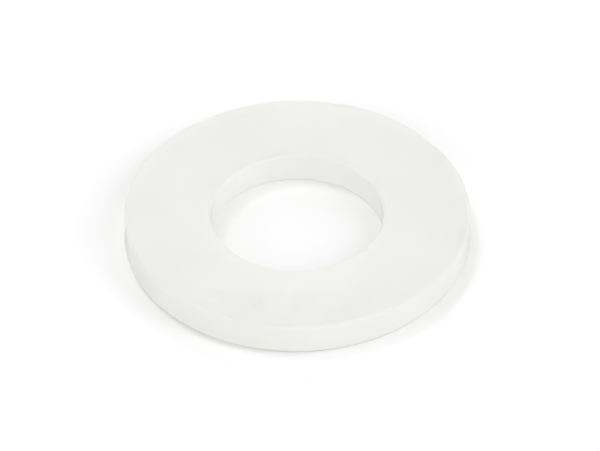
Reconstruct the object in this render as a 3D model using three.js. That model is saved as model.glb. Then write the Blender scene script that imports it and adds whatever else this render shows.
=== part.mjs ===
// A plain flat washer for an M10 bolt, moulded in one piece from natural, uncoloured nylon.
//
// Units are millimetres and +Z runs along the bolt. The origin is the centre of the lower
// bearing face, so the washer lies on the XY plane, with its upper bearing face at Z = THICKNESS.

import * as THREE from "three";

// Driving dimensions.
const BOLT_DIAMETER = 10;
const BOLT_CLEARANCE = 0.5; // how much wider the bore is than the bolt, on the diameter
const OUTER_DIAMETER = 21;
const THICKNESS = 2;
const RIM_EDGE_RADIUS = 0.2; // rounds the two edges between the bearing faces and the outer rim
const BORE_EDGE_RADIUS = 0.16; // rounds the two edges between the bearing faces and the bore

// How finely the round surfaces are divided.
const STEPS_AROUND = 96;
const HALF_STEPS_PER_EDGE = 1; // a path divides each of its arcs into twice this many steps

// Natural nylon: milky, nearly white, with a soft sheen.
const NATURAL_NYLON = new THREE.MeshStandardMaterial({
  name: "natural_nylon",
  color: new THREE.Color(0xeef0ed),
  roughness: 0.42,
  metalness: 0,
});

// The washer's section on one side of its axis: X is the distance from the axis, Y the height.
// It runs up the rim, in across the upper face, down the bore and out across the lower face.
// Each arc rounds one of the four edges, and straight lines join them.
function washerSection() {
  const quarter = Math.PI / 2;
  const rimArcX = OUTER_DIAMETER / 2 - RIM_EDGE_RADIUS;
  const boreArcX = (BOLT_DIAMETER + BOLT_CLEARANCE) / 2 + BORE_EDGE_RADIUS;
  const upperRimArcY = THICKNESS - RIM_EDGE_RADIUS;
  const upperBoreArcY = THICKNESS - BORE_EDGE_RADIUS;
  return new THREE.Path()
    .absarc(rimArcX, RIM_EDGE_RADIUS, RIM_EDGE_RADIUS, -quarter, 0)
    .absarc(rimArcX, upperRimArcY, RIM_EDGE_RADIUS, 0, quarter)
    .absarc(boreArcX, upperBoreArcY, BORE_EDGE_RADIUS, quarter, 2 * quarter)
    .absarc(boreArcX, BORE_EDGE_RADIUS, BORE_EDGE_RADIUS, 2 * quarter, 3 * quarter)
    .closePath()
    .getPoints(HALF_STEPS_PER_EDGE);
}

// The section carried once round the bolt's axis. A lathe turns about Y, so the ring is then
// laid down to bring that axis to +Z.
function washerRing() {
  const ring = new THREE.LatheGeometry(washerSection(), STEPS_AROUND);
  ring.rotateX(Math.PI / 2);
  const mesh = new THREE.Mesh(ring, NATURAL_NYLON);
  mesh.name = "washer_ring";
  return mesh;
}

const flatWasher = new THREE.Group();
flatWasher.name = "flat_washer";
flatWasher.add(washerRing());

export default flatWasher;
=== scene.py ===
"""The looks of a flat washer moulded in natural nylon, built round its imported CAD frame.

Everything is in metres, +Z up, in the frame of the CAD: the origin is the centre of the lower bearing
face. The washer is one piece, so there is one surface, one finish, a floor, a camera and the lights.
"""
import math
import bpy
import numpy as np
from mathutils import Matrix, Vector


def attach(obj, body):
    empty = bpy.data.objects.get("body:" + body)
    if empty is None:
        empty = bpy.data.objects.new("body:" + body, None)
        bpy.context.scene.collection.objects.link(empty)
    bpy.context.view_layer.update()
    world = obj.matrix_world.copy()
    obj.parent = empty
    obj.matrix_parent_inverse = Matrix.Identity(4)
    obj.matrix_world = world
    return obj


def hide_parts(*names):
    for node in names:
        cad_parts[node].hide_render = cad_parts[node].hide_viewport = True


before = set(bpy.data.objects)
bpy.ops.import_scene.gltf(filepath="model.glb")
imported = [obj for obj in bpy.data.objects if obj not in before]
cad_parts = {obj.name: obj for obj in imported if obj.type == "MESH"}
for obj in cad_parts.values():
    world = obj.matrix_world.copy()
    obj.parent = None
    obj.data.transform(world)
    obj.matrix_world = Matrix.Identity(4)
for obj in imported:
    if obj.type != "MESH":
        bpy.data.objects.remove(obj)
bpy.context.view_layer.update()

MM = 0.001
TAU = 2 * math.pi


# ---------------------------------------------------------------- sizes, read from the CAD ring

def ring_sizes(node):
    """Outer, bore and flat-face radii and the thickness of the CAD ring, in metres."""
    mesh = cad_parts[node].data
    points = np.empty(len(mesh.vertices) * 3, np.float32)
    mesh.vertices.foreach_get("co", points)
    points = points.reshape(-1, 3).astype(float)
    reach = np.hypot(points[:, 0], points[:, 1])
    top = points[:, 2].max()
    on_face = reach[points[:, 2] > top - 0.001 * MM]
    return {
        "outer": reach.max(),
        "bore": reach.min(),
        "face_outer": on_face.max(),
        "face_inner": on_face.min(),
        "thickness": top - points[:, 2].min(),
    }


SIZES = ring_sizes("washer_ring")


# ---------------------------------------------------------------- the moulded ring

STEPS_AROUND = 640
STEPS_PER_EDGE = 9
STEPS_ACROSS_FACE = 38
STEPS_UP_WALL = 14

SINK_DEPTH = 0.012 * MM  # how far each face sinks between its edges as the nylon cools
WARP = 0.085 * MM  # how far one side stands off the table, because the ring isn't quite flat
WARP_ANGLE = math.radians(-112)  # where that side is
RIPPLE = 0.005 * MM  # long, shallow unevenness of the moulded skin
RIPPLES = [(5, 900, 0), (8, -1500, 1), (13, 2100, 2.2)]  # turns round the ring, radians per metre out, start
GATE_ANGLE = math.radians(-40)  # where the runner was snapped off the upper edge of the bore
GATE_HALF_WIDTH = math.radians(5)
GATE_DEPTH = 0.16 * MM
GATE_REACH = 0.55 * MM  # how far from the bore's upper edge the paring goes


def section_points(sizes):
    """The closed section of the ring and its outward normals, as arrays of (distance from axis, height).

    Four quarter circles round the edges. Straight runs join them, up the rim, in across the upper
    face, down the bore and out across the lower face. Returns radius, height, the normal's two
    parts, and how far across the straight run each point is, from 0 to 1.
    """
    outer, bore, top = sizes["outer"], sizes["bore"], sizes["thickness"]
    rim_edge = outer - sizes["face_outer"]
    bore_edge = sizes["face_inner"] - bore
    quarter = math.pi / 2
    corners = [
        (outer - rim_edge, rim_edge, rim_edge, -quarter),
        (outer - rim_edge, top - rim_edge, rim_edge, 0),
        (bore + bore_edge, top - bore_edge, bore_edge, quarter),
        (bore + bore_edge, bore_edge, bore_edge, 2 * quarter),
    ]
    run_steps = [STEPS_UP_WALL, STEPS_ACROSS_FACE, STEPS_UP_WALL, STEPS_ACROSS_FACE]
    arc_share = np.linspace(0, 1, STEPS_PER_EDGE + 1)
    arcs = []
    for radius, height, edge, start in corners:
        angle = start + quarter * arc_share
        arcs.append(np.stack([radius + edge * np.cos(angle), height + edge * np.sin(angle),
                              np.cos(angle), np.sin(angle), np.zeros_like(angle)]))
    pieces = []
    for i, steps in enumerate(run_steps):
        begin, end = arcs[i][:, -1:], arcs[(i + 1) % 4][:, :1]
        share = np.arange(1, steps) / steps
        run = begin + (end - begin) * share
        run[2:4] = begin[2:4]
        run[4] = share
        pieces += [arcs[i], run]
    return np.concatenate(pieces, axis=1)


def bump_at(angle, centre, half_width):
    """A smooth hump of height 1 round one angle: the square of the cosine, and 0 past half_width."""
    away = np.abs((angle - centre + math.pi) % TAU - math.pi)
    return np.where(away < half_width, np.cos(away / half_width * math.pi / 2) ** 2, 0.0)


def ring_surface(sizes):
    """Vertices of the ring on a grid, (round the axis) by (along the section).

    Each section point is carried round the axis by the angle. It is first moved along its normal:
    in by a shallow sine across each face, and by three slow waves round the ring. One side of the ring
    is bent up by a squared, raised cosine of the angle, and the upper edge of the bore is pared away
    where the runner was.
    """
    radius, height, out, up, across = section_points(sizes)
    angle = np.arange(STEPS_AROUND)[:, None] * TAU / STEPS_AROUND
    on_face = np.abs(up) > 0.99
    sink = np.where(on_face, np.sin(math.pi * across) * SINK_DEPTH, 0)
    waves = sum(np.sin(turns * angle + drift * radius + start) for turns, drift, start in RIPPLES)
    waves = waves / len(RIPPLES)
    from_edge = np.hypot(radius - sizes["bore"], height - sizes["thickness"])
    near_edge = np.clip(1 - from_edge / GATE_REACH, 0, 1) ** 1.5
    pare = GATE_DEPTH * bump_at(angle, GATE_ANGLE, GATE_HALF_WIDTH) * near_edge
    inward = sink + RIPPLE * (1 + waves) / 2
    reach = radius - out * inward + pare
    bend = WARP * ((1 + np.cos(angle - WARP_ANGLE)) / 2) ** 2
    level = height - up * inward - pare * 0.5 + bend
    return np.stack([reach * np.cos(angle), reach * np.sin(angle), level], axis=-1)


def grid_mesh(name, points):
    """A closed mesh over a grid that wraps round both ways, with quads that face outwards."""
    rounds, along = points.shape[:2]
    index = np.arange(rounds * along).reshape(rounds, along)
    ahead = np.roll(index, -1, axis=0)
    faces = np.stack([index, ahead, np.roll(ahead, -1, axis=1), np.roll(index, -1, axis=1)], axis=-1)
    mesh = bpy.data.meshes.new(name)
    mesh.vertices.add(rounds * along)
    mesh.vertices.foreach_set("co", points.astype(np.float32).ravel())
    quads = faces.reshape(-1, 4)
    mesh.loops.add(quads.size)
    mesh.loops.foreach_set("vertex_index", quads.ravel().astype(np.int32))
    mesh.polygons.add(len(quads))
    mesh.polygons.foreach_set("loop_start", np.arange(0, quads.size, 4, dtype=np.int32))
    mesh.polygons.foreach_set("use_smooth", np.ones(len(quads), bool))
    mesh.update(calc_edges=True)
    mesh.validate()
    piece = bpy.data.objects.new(name, mesh)
    bpy.context.scene.collection.objects.link(piece)
    return piece


# ---------------------------------------------------------------- shader maths

class Socket:
    """One output of a shader node. Arithmetic on it adds Math nodes."""

    def __init__(self, tree, output):
        self.tree = tree
        self.output = output

    def node(self, kind, settings=None, inputs=None, out=0):
        """Adds a node, sets its settings, then fills its inputs with values or sockets."""
        return add_node(self.tree, kind, settings, inputs, out)

    def math(self, operation, *values):
        return self.node("ShaderNodeMath", {"operation": operation}, dict(enumerate(values)))

    def __add__(self, other):
        return self.math("ADD", self, other)

    def __sub__(self, other):
        return self.math("SUBTRACT", self, other)

    def __rsub__(self, other):
        return self.math("SUBTRACT", other, self)

    def __mul__(self, other):
        return self.math("MULTIPLY", self, other)

    __radd__ = __add__
    __rmul__ = __mul__

    def size(self):
        return self.math("ABSOLUTE", self)

    def root(self):
        return self.math("SQRT", self)

    def least(self, other):
        return self.math("MINIMUM", self, other)


def add_node(tree, kind, settings=None, inputs=None, out=0):
    """A new node in the tree: settings are its properties, inputs go to sockets by name or number.

    A Mix node has sockets of every type under each name, so only those in use are looked through.
    """
    made = tree.nodes.new(kind)
    for name, value in (settings or {}).items():
        setattr(made, name, value)
    for name, value in (inputs or {}).items():
        socket = pick(made.inputs, name)
        if isinstance(value, Socket):
            tree.links.new(value.output, socket)
        else:
            socket.default_value = value
    return Socket(tree, pick(made.outputs, out)) if made.outputs else None


def pick(sockets, name):
    """The socket in use with that name, or the one at that number."""
    if isinstance(name, int):
        return sockets[name]
    return next(socket for socket in sockets if socket.name == name and socket.enabled)


# ---------------------------------------------------------------- natural nylon

NYLON = (0.975, 0.975, 0.955)
NYLON_CLOUD_AND_SHADE = (0.955, 0.952, 0.925)  # a little darker: where the nylon is milkier, from how it flowed and cooled, and painted shade where these patches are placed along the outer front-left band of the upper face
NYLON_WHITENED = (0.985, 0.985, 0.975)  # stressed or scuffed nylon turns whiter
NYLON_PAINTED_LIGHT = (0.995, 0.992, 0.978)  # painted light: the bore wall is painted lighter, standing in for the light that passes through the nylon to it
SEE_THROUGH = 0.48  # the share of light that passes into the nylon and out again elsewhere
NYLON_IOR = 1.53

CLOUD_SIZE = 4.5 * MM
CLOUD_AND_SHADE_PATTERN = 47.6  # picks where the milky patches fall: chosen so that darker ones paint shade along the outer front-left band of the upper face, and lighter ones lie near the inner left
MOTTLE_SIZE = 0.8 * MM
EDGE_WEAR_WIDTH = 0.22 * MM
WORN_SIZE = 0.9 * MM
RUBBED_SIZE = 1.6 * MM  # the patches of the faces that have been scratched
EDGE_BLEND = 0.1 * MM  # how softly the faces' finish gives way to the walls'
BORE_PAINTED_LIGHT_FADE = (0.1 * MM, 0.3 * MM)  # the painted light on the bore wall fades out between these distances from the bore
GRAIN_SIZE, GRAIN_DEPTH = 0.13 * MM, 0.004 * MM  # the spark-eroded grain of the mould
WAVE_SIZE, WAVE_DEPTH = 1.8 * MM, 0.010 * MM  # slow unevenness left by shrinkage
TURNING_PITCH, TURNING_DEPTH = 0.10 * MM, 0.0015 * MM  # rings from the tool that turned the mould's faces
DRAG_SIZE, DRAG_DEPTH = 0.16 * MM, 0.003 * MM  # streaks drawn up the walls as the washer left the mould
DRAG_STRETCH = 14
SCRATCH_SIZE, SCRATCH_DEPTH = 0.05 * MM, 0.008 * MM
SCRATCH_STRETCH = 46
SCRATCH_TURNS = (0.4, 1.3, 2.5)  # the directions that the scratches run in, in radians
NICK_SIZE, NICK_DEPTH = 0.28 * MM, 0.020 * MM


def natural_nylon(sizes):
    """Milky, slightly see-through nylon with a satin moulded skin.

    The colour varies in milky patches from place to place, and their pattern is chosen so that the
    darker ones also paint shade along the outer front-left band of the upper face. The bore wall is
    painted lighter, standing in for the light that reaches it through the nylon. The colour whitens
    along worn edges. The relief adds slow waves, the mould's grain, its turned rings on the faces, its
    drag marks on the walls, fine handling scratches, and small nicks along the edges.
    """
    material = bpy.data.materials.new("natural_nylon")
    material.use_nodes = True
    tree = material.node_tree
    tree.nodes.clear()
    place = add_node(tree, "ShaderNodeTexCoord", out="Object")
    along_x, along_y, height = (place.node("ShaderNodeSeparateXYZ", None, {"Vector": place}, axis)
                                for axis in "XYZ")
    reach = (along_x * along_x + along_y * along_y).root()

    def noise(size, detail=2.0, roughness=0.5, at=place, pattern=0.0):
        """Cloudy noise from 0 to 1 whose blotches are about size metres across.

        Another pattern number gives other blotches.
        """
        return place.node("ShaderNodeTexNoise", {"noise_dimensions": "4D"},
                          {"Vector": at, "W": pattern, "Scale": 1 / size, "Detail": detail,
                           "Roughness": roughness}, "Fac")

    def stretched(scale, turn=0.0):
        """Object coordinates, turned about the axis and then drawn out by a scale on each axis."""
        return place.node("ShaderNodeMapping", {"vector_type": "TEXTURE"},
                          {"Vector": place, "Rotation": (0, 0, turn), "Scale": scale}, "Vector")

    def rise(value, low, high):
        """0 below low, 1 above high, and a smooth climb between them."""
        return place.node("ShaderNodeMapRange", {"interpolation_type": "SMOOTHSTEP"},
                          {"Value": value, "From Min": low, "From Max": high}, "Result")

    def scratched(turn):
        """1 along fine lines that run one way, where long, thin blotches cross their middle value."""
        streaks = noise(SCRATCH_SIZE, detail=0.0, at=stretched((SCRATCH_STRETCH, 1, 1), turn))
        return 1 - rise((streaks - 0.5).size(), 0, 0.006)

    def blend(share, first, second):
        """A colour between two colours, each given as a socket or three numbers."""
        pair = [c if isinstance(c, Socket) else (*c, 1) for c in (first, second)]
        return place.node("ShaderNodeMix", {"data_type": "RGBA"},
                          {"Factor": share, "A": pair[0], "B": pair[1]}, "Result")

    # How far a point is from the nearest wall, bore or rim, and from the nearer bearing face.
    to_wall = (reach - sizes["outer"]).size().least((reach - sizes["bore"]).size())
    to_face = height.size().least((height - sizes["thickness"]).size())
    face = rise(to_wall - to_face, 0, EDGE_BLEND)
    wall = 1 - face
    edge = 1 - rise(to_wall + to_face, 0, EDGE_WEAR_WIDTH)
    # painted light: picks out the bore wall, to be painted lighter for the light that reaches it through the
    # nylon
    bore = wall * (1 - rise(reach - sizes["bore"], *BORE_PAINTED_LIGHT_FADE))

    # real milky patches in the nylon, partly painted shade: the pattern puts the darker ones where shade
    # falls at the front left
    clouds_and_shade = rise(noise(CLOUD_SIZE, detail=3.0, pattern=CLOUD_AND_SHADE_PATTERN), 0.35, 0.68)
    mottle = noise(MOTTLE_SIZE)
    waves = noise(WAVE_SIZE)
    grain = noise(GRAIN_SIZE, detail=3.0, roughness=0.6)
    turning = place.node("ShaderNodeTexNoise", {"noise_dimensions": "1D"},
                         {"W": reach, "Scale": 1 / TURNING_PITCH, "Detail": 1.0}, "Fac") * face
    drag = noise(DRAG_SIZE, at=stretched((1, 1, DRAG_STRETCH))) * wall
    rubbed = rise(noise(RUBBED_SIZE), 0.52, 0.66) * face
    first, second, third = (scratched(turn) for turn in SCRATCH_TURNS)
    scratches = (first + second + third) * rubbed
    nicks = rise(noise(NICK_SIZE, detail=1.0), 0.60, 0.74) * edge
    worn = rise(noise(WORN_SIZE), 0.35, 0.62) * edge

    # the darker cloud colour is real milkiness and, along the outer front-left band, painted shade
    colour = blend(clouds_and_shade * 0.8 + mottle * 0.2, NYLON, NYLON_CLOUD_AND_SHADE)
    # paints light onto the bore wall
    colour = blend(bore * 0.8, colour, NYLON_PAINTED_LIGHT)
    colour = blend(worn * 0.2 + scratches * 0.25, colour, NYLON_WHITENED)
    roughness = 0.58 + 0.12 * waves + 0.10 * grain - 0.12 * worn + 0.06 * scratches
    relief = (WAVE_DEPTH * waves + GRAIN_DEPTH * grain + TURNING_DEPTH * turning + DRAG_DEPTH * drag
              - SCRATCH_DEPTH * scratches - NICK_DEPTH * nicks)
    normal = place.node("ShaderNodeBump", None,
                        {"Strength": 1.0, "Distance": 1.0, "Height": relief}, "Normal")

    shader = place.node("ShaderNodeBsdfPrincipled", None, {
        "Base Color": colour,
        "Roughness": roughness,
        "IOR": NYLON_IOR,
        "Normal": normal,
        "Transmission Weight": SEE_THROUGH,
    })
    place.node("ShaderNodeOutputMaterial", None, {"Surface": shader})
    return material


# ---------------------------------------------------------------- floor, light and camera

FLOOR_HALF_SIZE = 2.0
FLOOR_WHITENESS = 0.89


def plain_floor(half_size):
    """A flat, dull, nearly white table, at the height that the washer rests on."""
    corners = [(-half_size, -half_size, 0), (half_size, -half_size, 0),
               (half_size, half_size, 0), (-half_size, half_size, 0)]
    mesh = bpy.data.meshes.new("floor")
    mesh.from_pydata(corners, [], [(0, 1, 2, 3)])
    floor = bpy.data.objects.new("floor", mesh)
    bpy.context.scene.collection.objects.link(floor)
    material = bpy.data.materials.new("white_table")
    material.use_nodes = True
    shader = material.node_tree.nodes["Principled BSDF"]
    shader.inputs["Base Color"].default_value = (*[FLOOR_WHITENESS] * 3, 1)
    shader.inputs["Roughness"].default_value = 0.9
    shader.inputs["Specular IOR Level"].default_value = 0.0
    mesh.materials.append(material)
    return floor


def direction(azimuth, elevation):
    """The unit vector towards an azimuth, from +X round to +Y, and an elevation, both in degrees."""
    turn, rise = math.radians(azimuth), math.radians(elevation)
    return Vector((math.cos(turn) * math.cos(rise), math.sin(turn) * math.cos(rise), math.sin(rise)))


LIGHT_DISTANCE = 0.6
ROOM_BRIGHTNESS = 0.4


def soft_light(name, azimuth, elevation, width, brightness):
    """A round soft light that looks at the washer and spans a width in degrees, as seen from it.

    A white card that faced it, with no other light, would be as bright as its brightness says.
    """
    towards = direction(azimuth, elevation)
    light = bpy.data.lights.new(name, "AREA")
    light.shape = "DISK"
    light.size = 2 * LIGHT_DISTANCE * math.tan(math.radians(width) / 2)
    light.energy = brightness * 4 * math.pi * LIGHT_DISTANCE ** 2
    lamp = bpy.data.objects.new(name, light)
    lamp.location = towards * LIGHT_DISTANCE
    lamp.rotation_mode = "QUATERNION"
    lamp.rotation_quaternion = towards.to_track_quat("Z", "Y")
    lamp.visible_camera = False
    bpy.context.scene.collection.objects.link(lamp)
    return lamp


def white_room(brightness):
    """A white room all round."""
    world = bpy.data.worlds.new("white_room")
    world.use_nodes = True
    background = world.node_tree.nodes["Background"]
    background.inputs["Color"].default_value = (1, 1, 1, 1)
    background.inputs["Strength"].default_value = brightness
    bpy.context.scene.world = world


VIEW_ELEVATION = 41.7  # degrees above the table
VIEW_ROLL = -0.8  # degrees that the camera is turned about the way it looks
VIEW_DISTANCE = 60  # in outer radii: far off, through a long lens
SENSOR_WIDTH = 36
OUTER_RADIUS_ON_FRAME = 0.2875  # the washer's outer radius, as a share of the frame's width
AIM_RIGHT = 0.015  # where the camera looks, from the origin, in outer radii
AIM_UP = 0.069


def make_camera(outer):
    """A camera in front of the washer, looking down on it, and turned a little about its own axis."""
    rise = math.radians(VIEW_ELEVATION)
    back = Vector((0, -math.cos(rise), math.sin(rise)))
    right = Vector((1, 0, 0))
    up = back.cross(right)
    roll = Matrix.Rotation(math.radians(VIEW_ROLL), 3, back)
    axes = Matrix((roll @ right, roll @ up, back)).transposed()
    aim = axes @ Vector((AIM_RIGHT * outer, AIM_UP * outer, 0))
    data = bpy.data.cameras.new("camera")
    data.sensor_width = SENSOR_WIDTH
    data.lens = OUTER_RADIUS_ON_FRAME * VIEW_DISTANCE * SENSOR_WIDTH
    data.clip_start, data.clip_end = 0.01, 20
    camera = bpy.data.objects.new("camera", data)
    camera.rotation_mode = "QUATERNION"
    camera.rotation_quaternion = axes.to_quaternion()
    camera.location = aim + back * VIEW_DISTANCE * outer
    bpy.context.scene.collection.objects.link(camera)
    bpy.context.scene.camera = camera


make_camera(SIZES["outer"])
white_room(ROOM_BRIGHTNESS)
soft_light("right_panel", azimuth=-12, elevation=22, width=50, brightness=0.37)
soft_light("back_panel", azimuth=100, elevation=20, width=50, brightness=0.35)
soft_light("left_panel", azimuth=215, elevation=20, width=45, brightness=0.25)
soft_light("front_panel", azimuth=270, elevation=38, width=55, brightness=0.25)
soft_light("key_light", azimuth=-20, elevation=51, width=16, brightness=0.09)
soft_light("high_light", azimuth=140, elevation=65, width=20, brightness=0.15)
plain_floor(FLOOR_HALF_SIZE)
bpy.context.scene.view_settings.view_transform = "Standard"

washer = grid_mesh("washer", ring_surface(SIZES))
washer.data.materials.append(natural_nylon(SIZES))
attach(washer, "root")
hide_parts("washer_ring")
